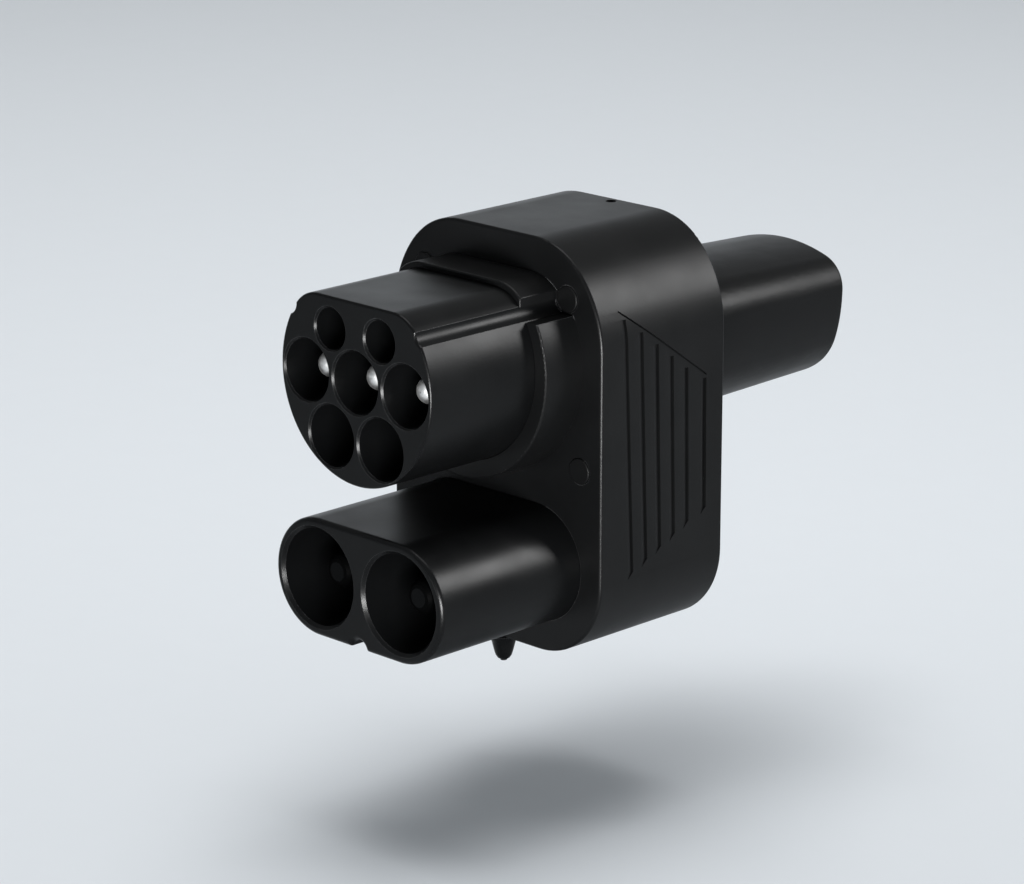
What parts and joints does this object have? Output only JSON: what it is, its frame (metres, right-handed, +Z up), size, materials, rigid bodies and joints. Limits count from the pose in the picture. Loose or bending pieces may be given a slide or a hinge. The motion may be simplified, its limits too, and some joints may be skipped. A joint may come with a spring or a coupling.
{
  "type": "electric vehicle charging adapter",
  "caption": "Black block adapter: round multi-well charging nose and double-well power block in front, ribbed body, rounded shield plug for the car behind.",
  "frame": {"origin": "where the axis of the car's plug leaves the flat rear face of the body", "axes": "+Y towards the car along the plug, +X across the body, +Z up, with the round nose above the double block"},
  "size_m": [0.0676, 0.1448, 0.1047],
  "materials": {
    "housing_black": "fine satin moulding texture",
    "cover_black": "fine satin moulding texture",
    "insert_black": "satin moulding texture",
    "plug_black": "satin moulding texture",
    "plug_cap_black": "satin",
    "spout_black": "satin",
    "tip_plastic": "smooth dark cap",
    "inner_plastic": "glass-filled, matte",
    "seal_rubber": "matte",
    "silver_contact": "silver plating, turned",
    "copper": "rolled copper",
    "steel": "zinc plated",
    "dark_steel": "black oxide",
    "circuit_board": "green solder mask"
  },
  "bodies": {
    "root": {"main_housing": "housing_black", "rear_cover": "cover_black", "cover_seal": "seal_rubber", "seven_well_insert": "insert_black", "seven_pin_block": "insert_black", "insert_seal": "seal_rubber", "dc_well_insert": "insert_black", "dc_pin_block": "insert_black", "dc_seal": "seal_rubber", "contact_retainer": "inner_plastic", "neutral_pin": "silver_contact", "earth_pin": "silver_contact", "line_pin": "silver_contact", "pilot_pin": "silver_contact", "proximity_pin": "silver_contact", "dc_pin_negative": "silver_contact", "dc_pin_positive": "silver_contact", "dc_tip_cap_negative": "tip_plastic", "dc_tip_cap_positive": "tip_plastic", "busbar_negative": "copper", "busbar_positive": "copper", "neutral_link": "copper", "line_link": "copper", "earth_link": "copper", "bar_nuts": "steel", "power_socket_negative": "silver_contact", "power_socket_positive": "silver_contact", "earth_socket": "silver_contact", "pilot_socket": "silver_contact", "proximity_socket": "silver_contact", "vehicle_plug_shell": "plug_black", "plug_seal": "seal_rubber", "contact_carrier": "inner_plastic", "socket_plate": "inner_plastic", "signal_board": "circuit_board", "housing_screws": "steel", "screw_plugs": "plug_cap_black", "retainer_screws": "steel", "plug_screws": "steel", "drain_spout": "spout_black", "cover_lock_screw": "dark_steel"}
  },
  "joints": []
}
